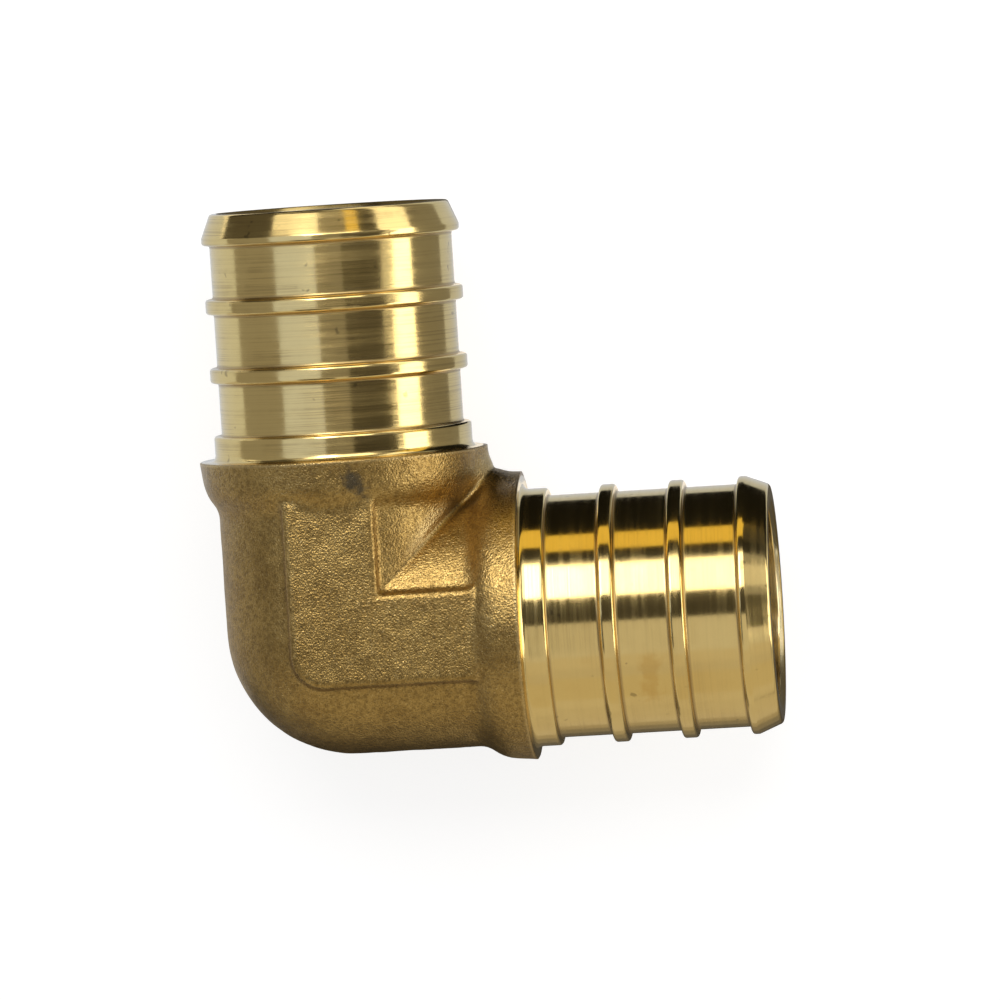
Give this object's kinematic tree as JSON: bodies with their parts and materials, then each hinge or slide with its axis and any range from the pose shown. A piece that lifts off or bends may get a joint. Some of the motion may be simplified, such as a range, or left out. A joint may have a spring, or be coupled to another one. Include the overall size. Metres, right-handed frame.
{
  "type": "pex elbow",
  "caption": "Right-angle brass pipe elbow with ribbed, barbed spigots that plastic water tube is crimped on to, and a collar on each arm as its stop.",
  "frame": {"origin": "where the centre lines of the two arms cross", "axes": "+X and +Y out along the two arms, +Z square to both; lies on its side as a loose fitting does"},
  "size_m": [0.0391, 0.0391, 0.0198],
  "materials": {
    "brass": "forged and blasted body, bright turned spigots"
  },
  "bodies": {
    "root": {"elbow": "brass"}
  },
  "joints": []
}
